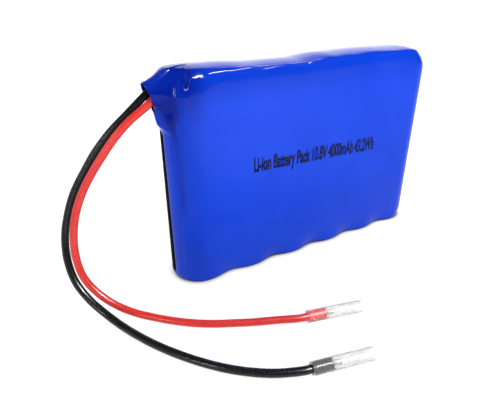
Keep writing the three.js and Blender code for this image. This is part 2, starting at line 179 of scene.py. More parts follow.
def film_finish():
    """Blue film with painted shade in its colour: an attribute made with the film darkens it at the
    left end, under the top edge, along the bottom edge and towards the bottom.
    """
    made = Finish("shrunk_film", (0.004, 0.043, 0.53), 0.12, IOR=1.5, Specular_IOR_Level=0.1)
    # colour of the darkest painted shade
    painted_shade_colour = (0.001, 0.009, 0.2)
    tint = made.ramp(
        made.noise(16, 2),
        (0.35, (0.003, 0.041, 0.51)),
        (0.65, (0.005, 0.046, 0.55)),
    )
    # painted shade: the film's colour goes towards the dark blue above where the attribute is high
    painted_shade = made.node("ShaderNodeAttribute")
    painted_shade.attribute_name = "painted_shade"
    made.link(made.mix(painted_shade.outputs["Fac"], tint, painted_shade_colour), "Base Color")
    made.link(made.ramp(made.noise(7, 3), (0.3, 0.09), (0.7, 0.14)), "Roughness")
    made.bump(made.noise(2.2, 2), 0.006)
    made.bump(made.noise(0.35, 2), 0.0008)
    return made.material


def metal_finish(name, dull, bright, roughness, grain_mm, stretch=(1, 1, 1)):
    """A metal whose colour and gloss vary a little, with a grain that stretch can draw out."""
    made = Finish(name, bright, roughness, Metallic=1.0)
    made.link(made.ramp(made.noise(2.5, 4), (0.3, dull), (0.7, bright)), "Base Color")
    grain = made.noise(grain_mm, 4, 0.6, stretch)
    made.link(made.ramp(grain, (0.25, roughness * 0.75), (0.75, roughness * 1.35)), "Roughness")
    made.bump(grain, 0.01)
    return made.material


def plain_finish(name, dark, light, roughness, grain_mm, depth_mm, **sockets):
    """A non-metal whose colour, gloss and surface all vary a little."""
    made = Finish(name, light, roughness, **sockets)
    made.link(made.ramp(made.noise(grain_mm * 4, 4, 0.6), (0.3, dark), (0.7, light)), "Base Color")
    grain = made.noise(grain_mm, 3)
    rougher = min(1, roughness * 1.2)
    made.link(made.ramp(grain, (0.25, roughness * 0.8), (0.75, rougher)), "Roughness")
    made.bump(grain, depth_mm)
    return made.material


def paper_finish():
    """Grey-green fibre paper."""
    made = Finish("fibre_paper", (0.3, 0.4, 0.32), 0.85)
    fibres = made.noise(0.3, 5, 0.7, (6, 1, 1))
    blotches = made.noise(4, 3)
    tint = made.ramp(fibres, (0.3, (0.2, 0.3, 0.22)), (0.7, (0.36, 0.45, 0.36)))
    blotched = made.ramp(blotches, (0.4, 0.0), (0.9, 0.5))
    made.link(made.mix(blotched, tint, (0.2, 0.26, 0.2)), "Base Color")
    made.bump(fibres, 0.02)
    return made.material


def clear_finish():
    """Soft clear tube, slightly milky."""
    made = Finish(
        "clear_tube",
        (0.97, 0.965, 0.95),
        0.14,
        IOR=1.45,
        Transmission_Weight=0.9,
        Specular_IOR_Level=0.5,
        Specular_Tint=(0.2, 0.2, 0.2, 1),
    )
    made.link(made.ramp(made.noise(1.6, 2), (0.3, 0.2), (0.7, 0.28)), "Roughness")
    made.bump(made.noise(1.2, 2, 0.5, (3, 1, 1)), 0.006)
    return made.material


# Each finish: its darker and lighter colour, its roughness, the width of its grain in millimetres,
# and how deep the grain is or, for a metal, how it is drawn out along X, Y and Z.
FINISHES = {
    "film": film_finish(),
    "steel": metal_finish(
        "can_steel", (0.42, 0.43, 0.45), (0.62, 0.63, 0.65), 0.32, 0.3, (1, 1, 12)
    ),
    "cell_wrap": plain_finish(
        "cell_wrap_film", (0.04, 0.28, 0.12), (0.07, 0.38, 0.18), 0.35, 1.5, 0.01
    ),
    "nickel": metal_finish(
        "nickel_strip", (0.5, 0.48, 0.44), (0.7, 0.68, 0.63), 0.3, 0.2, (14, 1, 1)
    ),
    "fish_paper": paper_finish(),
    "foam": plain_finish(
        "foam_tape", (0.012, 0.012, 0.013), (0.04, 0.04, 0.042), 0.95, 0.25, 0.08
    ),
    "board": plain_finish("solder_mask", (0.01, 0.11, 0.035), (0.02, 0.19, 0.07), 0.4, 0.8, 0.01),
    "chip": plain_finish(
        "moulded_epoxy", (0.01, 0.01, 0.011), (0.022, 0.022, 0.024), 0.5, 0.15, 0.01
    ),
    "solder": metal_finish("tinned_solder", (0.36, 0.36, 0.36), (0.62, 0.62, 0.63), 0.34, 0.25),
    "glue": plain_finish("hot_glue", (0.62, 0.56, 0.4), (0.78, 0.73, 0.56), 0.45, 1.0, 0.05),
    "red_wire": plain_finish(
        "red_insulation", (0.52, 0.02, 0.016), (0.6, 0.027, 0.02), 0.3, 0.5, 0.002, IOR=1.45
    ),
    "black_wire": plain_finish(
        "black_insulation", (0.004, 0.004, 0.004), (0.007, 0.007, 0.007), 0.28, 0.5, 0.002, IOR=1.4
    ),
    "yellow_wire": plain_finish(
        "yellow_insulation", (0.62, 0.38, 0.02), (0.76, 0.5, 0.04), 0.35, 0.5, 0.006
    ),
    "clear_cap": clear_finish(),
    "dark_sheet": plain_finish(
        "black_sheet",
        (0.0008, 0.0008, 0.0012),
        (0.0015, 0.0015, 0.002),
        0.8,
        0.4,
        0.01,
        Specular_IOR_Level=0.02,
    ),
    "print": plain_finish(
        "print_ink",
        (0.001, 0.004, 0.04),
        (0.002, 0.006, 0.06),
        0.6,
        0.3,
        0.001,
        Specular_IOR_Level=0.1,
    ),
}


def finish_nodes():
    """Gives every carried-over node the finish of its kind."""
    kinds = {
        "_can": "steel",
        "_button": "steel",
        "_wrap": "cell_wrap",
        "_washer": "fish_paper",
        "strip_": "nickel",
        "base_board": "fish_paper",
        "top_board": "fish_paper",
        "cover_paper": "fish_paper",
        "end_sheet": "dark_sheet",
        "foam_pad": "foam",
        "protection_board": "board",
        "mosfet": "chip",
        "control_chip": "chip",
        "sense_resistor": "chip",
        "solder_": "solder",
        "glue_bead": "glue",
        "sense_wire": "yellow_wire",
        "return_wire": "black_wire",
    }
    for name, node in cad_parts.items():
        found = [slot for part, slot in kinds.items() if part in name]
        if found:
            node.data.materials.clear()
            node.data.materials.append(FINISHES[found[0]])


# ---------------------------------------------------------------- helpers for new pieces
def new_piece(name, data, slot, body, replaced):
    """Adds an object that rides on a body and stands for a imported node."""
    piece = bpy.data.objects.new(name, data)
    bpy.context.scene.collection.objects.link(piece)
    data.materials.append(FINISHES[slot])
    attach(piece, body)
    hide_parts(replaced)
    return piece


def smooth_faces(mesh):
    mesh.polygons.foreach_set("use_smooth", [True] * len(mesh.polygons))


def grid_mesh(name, points, closed_rows=False):
    """A mesh of a rows x columns x 3 array of points, whose columns close round, as rows can too."""
    rows, columns, _ = points.shape
    mesh = bpy.data.meshes.new(name)
    faces = []
    for r in range(rows if closed_rows else rows - 1):
        above = (r + 1) % rows
        for c in range(columns):
            right = (c + 1) % columns
            corners = ((r, c), (r, right), (above, right), (above, c))
            faces.append([row * columns + column for row, column in corners])
    mesh.from_pydata(points.reshape(-1, 3).tolist(), [], faces)
    smooth_faces(mesh)
    return mesh


def axes_along(direction):
    """A direction's unit vector and two across it, the last as near to up as it can be."""
    along = Vector(direction).normalized()
    side = along.cross(Vector((0, 0, 1))).normalized()
    return along, side, side.cross(along)


# ---------------------------------------------------------------- leads
# The leads' centrelines in metres, in row coordinates: from the solder joint on the board, out by
# the spout, down in an arc, along the floor and up to the end of the insulation.
RED_ROUTE = (
    (-0.0394, -0.0030, 0.07135),
    (-0.0445, -0.0030, 0.0713),
    (-0.0495, -0.0029, 0.0706),
    (-0.0538, -0.0028, 0.0690),
    (-0.0573, -0.0027, 0.0666),
    (-0.0603, -0.0026, 0.0639),
    (-0.0661, -0.0024, 0.0600),
    (-0.0709, -0.0018, 0.0555),
    (-0.0752, -0.0010, 0.0502),
    (-0.0792, -0.0002, 0.0447),
    (-0.0828, 0.0003, 0.0388),
    (-0.0856, 0.0001, 0.0327),
    (-0.0874, -0.0007, 0.0262),
    (-0.0881, -0.0022, 0.0196),
    (-0.0873, -0.0046, 0.0133),
    (-0.0844, -0.0076, 0.0081),
    (-0.0803, -0.0113, 0.0043),
    (-0.0755, -0.0155, 0.0021),
    (-0.0708, -0.0198, 0.0014),
    (-0.0662, -0.0242, 0.0013),
    (-0.0612, -0.0283, 0.0013),
    (-0.0559, -0.0318, 0.0013),
    (-0.0502, -0.0348, 0.0013),
    (-0.0446, -0.0377, 0.0014),
    (-0.0384, -0.0407, 0.0017),
    (-0.0318, -0.0440, 0.0020),
    (-0.0237, -0.0461, 0.0020),
)
BLACK_ROUTE = (
    (-0.0394, 0.0030, 0.07135),
    (-0.0445, 0.0024, 0.0714),
    (-0.0495, 0.0015, 0.0714),
    (-0.0536, 0.0007, 0.0704),
    (-0.0572, 0.0004, 0.0684),
    (-0.0605, 0.0003, 0.0658),
    (-0.0660, 0.0005, 0.0612),
    (-0.0715, 0.0012, 0.0564),
    (-0.0763, 0.0021, 0.0510),
    (-0.0805, 0.0029, 0.0450),
    (-0.0844, 0.0035, 0.0388),
    (-0.0874, 0.0034, 0.0321),
    (-0.0896, 0.0024, 0.0251),
    (-0.0905, 0.0001, 0.0181),
    (-0.0898, -0.0033, 0.0117),
    (-0.0872, -0.0078, 0.0066),
    (-0.0837, -0.0133, 0.0032),
    (-0.0804, -0.0194, 0.0016),
    (-0.0773, -0.0256, 0.0013),
    (-0.0740, -0.0317, 0.0013),
    (-0.0702, -0.0376, 0.0013),
    (-0.0660, -0.0432, 0.0013),
    (-0.0614, -0.0484, 0.0013),
    (-0.0562, -0.0531, 0.0013),
    (-0.0501, -0.0576, 0.0016),
    (-0.0431, -0.0611, 0.0020),
    (-0.0352, -0.0630, 0.0020),
)
LEAD_DIAMETER = 0.0024  # metres
LINE_STEPS = 8  # between two points of a route
# The tinned wire ends and their caps, in millimetres.
TIP_GAP = 0.3  # from the end of the insulation
TIP_LENGTH = 2.5
TIP_R = 0.75
TIP_BARREL = 0.85  # share of its length that is straight
TIP_RINGS = 18
TIP_END_RINGS = 6
STRANDS = 7
CAP_OUTER = 1.95  # radii
CAP_GRIP = 1.1  # bore where the tube is pressed on to the insulation
CAP_BORE = 1.72  # beyond it
CAP_LENGTH = 19
CAP_OVER_LEAD = 6
CAP_LIP = 0.08  # rounding of the cut ends


def smooth_line(points, steps):
    """A centripetal Catmull-Rom curve, with extra points that keep its last run straight."""
    points = [Vector(p) for p in points]
    run = points[-1] - points[-2]
    points[-1:] = [points[-2] + run * (i / 4) for i in range(1, 5)]
    padded = [2 * points[0] - points[1], *points, 2 * points[-1] - points[-2]]
    line = []
    for a, b, c, d in zip(padded, padded[1:], padded[2:], padded[3:]):
        knots = [0.0]
        for p, q in ((a, b), (b, c), (c, d)):
            knots.append(knots[-1] + math.sqrt((q - p).length))
        t0, t1, t2, t3 = knots
        for i in range(steps):
            t = t1 + (t2 - t1) * i / steps
            ab = a.lerp(b, (t - t0) / (t1 - t0))
            bc = b.lerp(c, (t - t1) / (t2 - t1))
            cd = c.lerp(d, (t - t2) / (t3 - t2))
            abc = ab.lerp(bc, (t - t0) / (t2 - t0))
            bcd = bc.lerp(cd, (t - t1) / (t3 - t1))
            line.append(abc.lerp(bcd, (t - t1) / (t2 - t1)))
    return [*line, points[-1]]


def lead_piece(name, route, slot, node):
    """The insulated lead as one bevelled curve, very slightly uneven in thickness."""
    line = smooth_line([(x + ROW_X, y, z) for x, y, z in route], LINE_STEPS)
    curve = bpy.data.curves.new(name, "CURVE")
    curve.dimensions = "3D"
    curve.bevel_depth = LEAD_DIAMETER / 2
    curve.bevel_resolution = 7
    curve.use_fill_caps = True
    spline = curve.splines.new("POLY")
    spline.points.add(len(line) - 1)
    for i, (point, place) in enumerate(zip(spline.points, line)):
        point.co = (*place, 1)
        point.radius = 1 + 0.012 * math.sin(i * 0.9) * math.sin(i * 0.23)
    spline.use_smooth = True
    return new_piece(name, curve, slot, "pack", node)


def turned_along(name, profile, sides, start, along, wave, closed=False):
    """A turned mesh along a direction: profile is (radius, distance), and wave changes either."""
    along, side, up = axes_along(along)
    rings = []
    for radius, distance in profile:
        ring = []
        for i in range(sides):
            angle = 2 * math.pi * i / sides
            r, d = wave(radius, distance, angle)
            outward = side * math.cos(angle) + up * math.sin(angle)
            ring.append(start + along * d + outward * r)
        rings.append(ring)
    return grid_mesh(name, np.array(rings), closed)


def strand_wave(radius, distance, angle):
    """Strands twisted together and flooded with tin."""
    twist = angle * STRANDS + distance / MM * 1.3
    groove = 0.1 * (0.5 - 0.5 * math.cos(twist)) ** 2
    return radius * (1 - groove), distance


def tip_piece(colour, end, along):
    """The bare end of the wire: a straight barrel with a rounded end."""
    least_radius = 0.02
    barrel_start = 0.02
    profile = [(least_radius, 0.0)]
    for i in range(TIP_RINGS + 1):
        share = barrel_start + (TIP_BARREL - barrel_start) * i / TIP_RINGS
        profile.append((TIP_R, TIP_LENGTH * share))
    for i in range(1, TIP_END_RINGS + 1):
        turn = math.pi / 2 * i / TIP_END_RINGS
        share = TIP_BARREL + (1 - TIP_BARREL) * math.sin(turn)
        profile.append((max(least_radius, TIP_R * math.cos(turn)), TIP_LENGTH * share))
    profile = [(radius * MM, distance * MM) for radius, distance in profile]
    sides = 56
    start = end + along * (TIP_GAP * MM)
    mesh = turned_along(f"{colour}_tinned_strands", profile, sides, start, along, strand_wave)
    closed = bmesh.new()
    closed.from_mesh(mesh)
    bmesh.ops.holes_fill(closed, edges=closed.edges, sides=sides)
    closed.to_mesh(mesh)
    closed.free()
    return new_piece(f"{colour}_tinned_strands", mesh, "solder", "pack", f"{colour}_tinned_end")


def cap_piece(colour, end, along):
    """A soft clear tube with rounded cut ends, which grips the lead's insulation."""
    near = CAP_LIP * 0.3  # from the corner to the middle of its rounding
    profile = []

    def run(radius, start, stop, steps):
        for i in range(steps + 1):
            profile.append((radius, start + (stop - start) * i / steps))

    run(CAP_OUTER, CAP_LIP, CAP_LENGTH - CAP_LIP, 28)
    profile.append((CAP_OUTER - near, CAP_LENGTH - near))
    profile.append((CAP_OUTER - CAP_LIP, CAP_LENGTH))
    profile.append((CAP_BORE + CAP_LIP, CAP_LENGTH))
    profile.append((CAP_BORE + near, CAP_LENGTH - near))
    run(CAP_BORE, CAP_LENGTH - CAP_LIP, CAP_OVER_LEAD + 1.1, 20)
    profile.append((CAP_BORE - 0.12, CAP_OVER_LEAD + 0.7))
    profile.append((CAP_GRIP + 0.12, CAP_OVER_LEAD + 0.25))
    run(CAP_GRIP, CAP_OVER_LEAD + 0.1, CAP_LIP, 10)
    profile.append((CAP_GRIP + near, near))
    profile.append((CAP_GRIP + CAP_LIP, 0))
    profile.append((CAP_OUTER - CAP_LIP, 0))
    profile.append((CAP_OUTER - near, near))

    def soft(radius, distance, angle):
        squeeze = 0.02 * math.cos(2 * angle) * (distance / MM / CAP_LENGTH) ** 2
        return radius * (1 + squeeze), distance

    name = f"{colour}_clear_cap"
    start = end - along * (CAP_OVER_LEAD * MM)
    metres = [(radius * MM, distance * MM) for radius, distance in profile]
    mesh = turned_along(name, metres, 48, start, along, soft, closed=True)
    mesh.flip_normals()
    return new_piece(name, mesh, "clear_cap", f"{colour}_cap", f"{colour}_end_cap")


def output_lead(colour, route):
    """A lead with its tinned end and its cap."""
    end = Vector(route[-1]) + Vector((ROW_X, 0, 0))
    along = (Vector(route[-1]) - Vector(route[-2])).normalized()
    lead = lead_piece(f"{colour}_wire", route, f"{colour}_wire", f"{colour}_lead")
    tip = tip_piece(colour, end, along)
    cap = cap_piece(colour, end, along)


output_lead("red", RED_ROUTE)
output_lead("black", BLACK_ROUTE)


# ---------------------------------------------------------------- film
# The film is a tube that lies along the row and is shrunk in over both ends of it. Its surface is
# a grid: columns go round the pack as seen from above, and rows go from the middle of the base up
# the sides to the middle of the top.
FILM_T = 0.2  # thickness
MERGE_WITHIN = 0.002  # points of the grid this near each other become one
# How far the film is drawn in between two cells at the bottom edge: [row X, depth].
SCALLOPS = ((-37, 1.5), (-18.5, 2.1), (0, 2.0), (18.5, 1.9), (37, 1.7))
SCALLOP_SHARPNESS = 1.3  # over 1, the dips are narrower than the bumps
SCALLOP_TOP = 9  # height at which the faces are flat again
BASE_RADIUS = 1.0  # of the bottom edge
# The film's profile over the top edge: [how far it stands in, height].
TOP_PROFILE = (
    (0.0, 64.0),
    (0.06, 67.0),
    (0.25, 69.6),
    (0.52, 71.3),
    (0.95, 72.45),
    (1.55, 73.1),
    (2.35, 73.5),
    (3.3, 73.72),
    (4.2, 73.86),
    (5.0, 73.95),
)
RIGHT_ROUND = 2.4  # how much further in the top edge stands at the right end
RIGHT_FOOT = 1.3  # how much further in the bottom edge stands there
# The gap that the lips leave up each end: its lowest and highest point, then [height, Y] of its
# front and rear edges.
LEFT_GAP = (1.5, 54.5, ((4, -1.35), (28, -1.1), (52, -0.7)), ((4, 5.2), (54, 5.2)))
RIGHT_GAP = (5.0, 62.0, ((5, -2.4), (62, -2.4)), ((5, 2.4), (62, 2.4)))
GAP_CORNER = 1.2  # radius of the gap's corners
END_RISE = (0.9, 2.2)  # how far the lower edge is lifted off the floor at the left and right end
LIP_CURL = 0.2  # how far the lips turn in
LIP_WIDTH = 0.45  # how far from the gap the film starts to turn in
TOP_CROWN = 0.3  # how much higher the top is along its middle
LEFT_BULGE = 0.25  # how far the left end stands out past the cell's round
LINER_T = 0.16  # thickness of the black sheet that shows in the left gap
LINER_GAP = 0.05  # between the film and that sheet

SPOUT_Y = -1.25  # where the spout's middle is
SPOUT_WIDTH = 3.0  # half its width
SPOUT_ROOT = 1.7  # how far the film round it is drawn out as well
SPOUT_ROOT_WIDTH = 5.2
MOUTH_AT = (-59.8, 0, 65.6)  # a point of the plane in which the spout is cut off
MOUTH_LEAN = math.radians(17)  # of that plane
# How far the film is drawn out at each height, before the mouth is cut: [height, reach].
SPOUT_REACH = (
    (54.5, 0.0),
    (55.8, 0.35),
    (56.7, 0.9),
    (57.6, 1.15),
    (59.0, 1.35),
    (61.0, 1.5),
    (62.4, 1.8),
    (63.0, 3.5),
    (63.8, 8.0),
    (65.2, 13.0),
    (67.0, 13.0),
    (68.3, 10.0),
    (69.5, 5.8),
    (70.5, 3.2),
    (71.5, 1.5),
    (72.6, 0.5),
    (73.6, 0.0),
)

# How much higher than the profile the film lies along the row, at the front edge of the top and
# over the rest of the top: [row X, height].
FRONT_RIM = (
    (-55, -0.8),
    (-51, -1.0),
    (-45.2, -1.3),
    (-42.8, -0.1),
    (-37.5, 0.25),
    (-36.2, 0.05),
    (-29, 0.45),
    (-24, -0.3),
    (-20, 0.05),
    (-15.6, 0.25),
    (-11.5, -0.1),
    (-7.5, 0.1),
    (-4, 0.5),
    (1, 0.25),
    (6, 0.6),
    (10, 0.45),
    (15, 0.95),
    (21, 0.8),
    (32, 1.1),
    (44, 0.8),
    (50, 0.3),
    (56, -1.4),
)
TOP_LINE = (
    (-56, 0.1),
    (-48, -0.1),
    (-37, -0.2),
    (-22, -0.85),
    (-8, -0.8),
    (6, 0.3),
    (25, 0.75),
    (42, 0.6),
    (48, 0.2),
    (56, -1.8),
)


def eased(t):
    """A smooth step from 0 at t = 0 to 1 at t = 1."""
    t = np.clip(t, 0, 1)
    return t * t * (3 - 2 * t)


def hump(t):
    """A smooth bump of height 1 at t = 0."""
    return np.exp(-np.square(t))


def stepped(x, knots):
    """A line through the knots that is level at each of them."""
    xs, ys = np.array(knots).T
    i = np.clip(np.searchsorted(xs, x) - 1, 0, len(xs) - 2)
    return ys[i] + (ys[i + 1] - ys[i]) * eased((x - xs[i]) / (xs[i + 1] - xs[i]))


def along_points(points, steps):
    """The points of a smooth curve through control points, evenly spaced along it."""
    flat = [Vector((*p, 0)) for p in points]
    padded = [2 * flat[0] - flat[1], *flat, 2 * flat[-1] - flat[-2]]
    fine = []
    fine_steps = 24
    for a, b, c, d in zip(padded, padded[1:], padded[2:], padded[3:]):
        for i in range(fine_steps):
            t = i / fine_steps
            bend = 2 * a - 5 * b + 4 * c - d
            fine.append(b + 0.5 * ((c - a) * t + bend * t**2 + (3 * b - a - 3 * c + d) * t**3))
    fine = np.array([*fine, flat[-1]])[:, :2]
    far = np.concatenate([[0], np.cumsum(np.linalg.norm(np.diff(fine, axis=0), axis=1))])
    at = np.linspace(0, far[-1], steps + 1)
    return np.stack([np.interp(at, far, fine[:, k]) for k in (0, 1)], axis=1)


def film_columns():
    """For each column round the pack: its centre's X, and its outward direction in degrees."""
    side = np.linspace(-ROW_HALF, ROW_HALF, 151)
    front = [(x, 270.0) for x in side]
    right_end = [(ROW_HALF, a) for a in np.linspace(-90, 90, 91)[1:-1]]
    back = [(-x, 90.0) for x in side]
    left_end = [(-ROW_HALF, a) for a in np.linspace(90, 270, 151)[1:-1]]
    return np.array([*front, *right_end, *back, *left_end]).T


def film_rows():
    """For each row: how far it stands in, its height, and how far it is in over the base (0 to -1
    in the middle) or over the top (0 to 1)."""
    rows = [(BASE_RADIUS, 0.0, -t) for t in (1, 0.75, 0.5, 0.25, 0.1)]
    for i in range(9):
        turn = math.pi / 2 * i / 8
        rows.append((BASE_RADIUS * (1 - math.sin(turn)), BASE_RADIUS * (1 - math.cos(turn)), 0))
    heights = [
        *np.arange(1.5, SCALLOP_TOP + 2, 0.5),
        *np.arange(SCALLOP_TOP + 3, 53, 2.0),
        *np.arange(53.5, 63.9, 0.5),
    ]
    rows += [(0.0, z, 0) for z in heights]
    rows += [(inset, z, 0) for inset, z in along_points(TOP_PROFILE, 34)]
    last = TOP_PROFILE[-1]
    rows += [(*last, t) for t in (0.1, 0.22, 0.36, 0.52, 0.68, 0.84, 1)]
    return np.array(rows).T


def gap_edge(z, z0, z1, places, inward):
    """The Y of a gap's edge at each height, with rounded corners that ease out past its ends."""
    inside = np.minimum(z - z0, z1 - z)
    share = np.clip((GAP_CORNER - inside) / GAP_CORNER, 0, 1)
    corner = GAP_CORNER * (1 - np.sqrt(np.clip(1 - share**2, 0, 1)))
    return np.interp(z, *zip(*places)) + inward * corner * eased(1 + inside / 4)


def open_gap(angle, z, gap, middle, turn):
    """Slides the columns at one end so that two of them follow the gap's edges. Gives the new
    angles, which points lie in the gap or on its edge, and how far each point is from it."""
    z0, z1, front, rear = gap
    rows = (z[:, 0] >= z0 - 0.01) & (z[:, 0] <= z1 + 0.01)
    edges = []
    moved = angle + 0 * z
    for places, inward in ((front, 1), (rear, -1)):
        edge = gap_edge(z[:, 0], z0, z1, places, inward)
        target = middle + turn * np.degrees(np.arcsin(edge / FILM_R))
        column = np.argmin(np.abs(angle[0] - target[rows].mean()))
        start = angle[0, column]
        moved = moved + (target[:, None] - start) * hump((angle - start) / 9)
        edges.append(column)
    low, high = sorted(edges)
    columns = np.arange(angle.shape[1])
    inside = rows[:, None] & (columns >= low)[None, :] & (columns <= high)[None, :]
    across = np.maximum(moved[:, [low]] - moved, moved - moved[:, [high]])
    across = np.clip(np.radians(across) * FILM_R, 0, None)
    beyond = np.clip(np.maximum(z0 - z, z - z1), 0, None)
    return moved, inside, np.hypot(across, beyond)


def end_bulge(angle, z):
    """How far the left end stands out past the cell's round."""
    return LEFT_BULGE * eased((235 - angle) / 28) * eased((angle - 95) / 30) * eased((67 - z) / 8)


def shaded_band_at(z):
    """The direction, in degrees, of the band of painted shade down the left end."""
    return 219 + 0.2 * np.clip(50 - z, 0, 40)


def end_folds(angle, z):
    """How far the film is drawn in on the left end, where the tube's lip is gathered. Each fold has
    a depth, a direction in degrees and a height, with a width for each."""
    valley = 0.42 * hump((angle - 226) / 6) * eased((z - 26) / 10) * eased((60 - z) / 6)
    bulge = -0.4 * hump((angle - 223) / 5) * hump((z - 16) / 10)
    fold_at = z - (58 - 0.075 * (angle - 185))
    fold = -0.7 * hump(fold_at / np.where(fold_at > 0, 4.2, 1.7))
    fold = fold * eased((angle - 183) / 9) * eased((231 - angle) / 10)
    funnel = 0.55 * hump((angle - 211) / 12) * eased((z - 58.5) / 5) * eased((69 - z) / 4)
    slant = 0.3 * np.clip(z - 66.3, 0, 6) * eased((angle - 194) / 12) * eased((254 - angle) / 16)
    ridge = -0.3 * hump((angle - 228) / 3.6) * hump((z - 69.5) / 4.2)
    crease = -0.2 * hump((angle - 221) / 2.2) * hump((z - 61) / 4)
    knot = -0.25 * hump((angle - 207) / 4) * hump((z - 67.8) / 0.9)
    return valley + bulge + fold + funnel + slant + ridge + crease + knot - end_bulge(angle, z)


def film_painted_shade(x, angle, z, left):
    """Shade painted into the film's colour: 0 for none, 1 for the darkest. It darkens the face under
    the top edge, more at the left, the funnel below the spout, a band down the left end's front
    corner, the film near the spout and beside the left end, the bottom edge, and the lower face a
    little.
    """
    over_cells = (0.34 - 0.14 * eased((x + 20) / 50)) * eased((z - 61) / 9)
    funnel = 1.05 * hump((angle - 213) / 13) * hump((z - 61.5) / 6)
    shaded_band = 0.42 * hump((angle - shaded_band_at(z)) / 8) * eased((z - 22) / 10) * eased((64 - z) / 5)
    near_spout = 0.35 * eased((z - 56) / 8) * eased((-x - 42) / 8)
    beside_end = 0.22 * hump((x + 50) / 4.5)
    # painted shade along the bottom edge's rounding, and a little over the lower face
    foot = 0.8 * eased((1.3 - z) / 1.2) + 0.13 * eased((38 - z) / 38)
    return np.clip(over_cells + left * (funnel + shaded_band) + near_spout + beside_end + foot, 0, 1)


def face_waves(x, z, front):
    """The slight unevenness of the two broad faces, as a distance inwards."""
    flutes = 0.14 * (1 + np.cos(2 * math.pi * x / PITCH)) / 2 * np.exp(-z / 22)
    slow = 0.05 * np.sin(x / 9.1 + z / 14.3) + 0.05 * np.sin(x / 15.7 - z / 8.9 + 1.3)
    near_rim = 0.08 * np.sin(x / 2.9 + 0.6 * np.sin(x / 5.3)) * hump((z - 69.5) / 2.6)
    return (flutes + slow * eased(z / 12) + near_rim) * front


def film_grid():
    """The grid's points in row millimetres, which of them lie in a gap, and how much painted shade
    each has.
    """
    centre, angle = (a[None, :] for a in film_columns())
    inset, height, over = (a[:, None] for a in film_rows())
    z = height + 0 * centre
    left = (centre < 1 - ROW_HALF) & (angle > 91) & (angle < 269)
    right = (centre > ROW_HALF - 1) & (np.abs(angle) < 89)
    left_angle, left_gap, left_off = open_gap(angle, z, LEFT_GAP, 180, -1)
    right_angle, right_gap, right_off = open_gap(angle, z, RIGHT_GAP, 0, 1)
    turned = np.where(left, left_angle, np.where(right, right_angle, angle + 0 * z))
    curl = LIP_CURL * (left * hump(left_off / LIP_WIDTH) + right * hump(right_off / LIP_WIDTH))

    normal_x = np.cos(np.radians(turned))
    normal_y = np.sin(np.radians(turned))
    on_face = np.abs(normal_y) ** 6  # 1 on the broad faces, 0 at the ends
    between_cells = ((1 + np.cos(2 * math.pi * centre / PITCH)) / 2) ** SCALLOP_SHARPNESS
    depth = np.interp(centre, *zip(*SCALLOPS)) * between_cells
    inward = inset + curl + depth * np.clip(1 - z / SCALLOP_TOP, 0, 1) ** 2 * on_face
    inward = inward + left * end_folds(turned, z) + face_waves(centre, z, on_face)
    straight_x = centre + normal_x * FILM_R
    rounded = np.square(np.clip((z - 66.5) / 6, 0, 1.2)) * (over <= 0) + (over > 0)
    foot = RIGHT_FOOT * np.square(np.clip(1 - z / 5, 0, 1))
    inward = inward + (RIGHT_ROUND * rounded + foot) * eased((straight_x - 44) / 9)
    x = centre + normal_x * (FILM_R - inward)
    y = normal_y * (FILM_R - inward)

    on_front = eased(0.5 - 0.8 * normal_y)  # 1 on the front, 0 on the back
    rim = stepped(x, FRONT_RIM) * on_front + stepped(x, TOP_LINE) * (1 - on_front)
    top = eased((inset - 0.8) / 2.0)  # 0 at the top's edge, 1 further in
    lift = (rim * (1 - top) + stepped(x, TOP_LINE) * top) * eased((z - 64) / 7)
    share = np.abs(over) * np.ones_like(x)
    away = np.clip(np.abs(x) - ROW_HALF, 0, FILM_R) / FILM_R
    rise = np.where(x < 0, *END_RISE) * eased((away - 0.55) / 0.45) * eased(1 - z / 9)
    x = x + (centre - x) * share
    y = y * (1 - share)
    crown = TOP_CROWN * (1 - np.square(1 - np.clip(over, 0, 1)))
    z = z + lift + crown + rise * (1 - share)

    heights, reaches = zip(*SPOUT_REACH)
    off = np.abs(y - SPOUT_Y)
    tube = np.interp(z, heights, reaches) * np.exp(-((off / SPOUT_WIDTH) ** 2.6))
    root = SPOUT_ROOT * np.exp(-((off / SPOUT_ROOT_WIDTH) ** 2.2)) * hump((z - 66.5) / 6)
    x = x - left * (tube + root) * eased((-ROW_HALF - x) / 3)
    painted_shade = film_painted_shade(x, turned, z, left)
    return np.stack([x, y, z], axis=2), left_gap & left | right_gap & right, painted_shade


def cut_mouth(shape):
    """Cuts the drawn-out film off in the slanting plane of the spout's mouth."""
    beyond_end = -54.0
    above = 62.2

    def by_mouth(vertex):
        return vertex.co.x < beyond_end and vertex.co.z > above

    near = [f for f in shape.faces if all(by_mouth(v) for v in f.verts)]
    touched = {e for f in near for e in f.edges} | {v for f in near for v in f.verts}
    normal = Vector((-math.cos(MOUTH_LEAN), 0, -math.sin(MOUTH_LEAN)))
    bmesh.ops.bisect_plane(
        shape, geom=[*near, *touched], plane_co=MOUTH_AT, plane_no=normal, clear_outer=True
    )


def add_wall(piece, thickness):
    """Gives an open sheet its thickness, on the side away from its faces' normals."""
    wall = piece.modifiers.new("wall", "SOLIDIFY")
    wall.thickness = thickness * MM
    wall.offset = -1


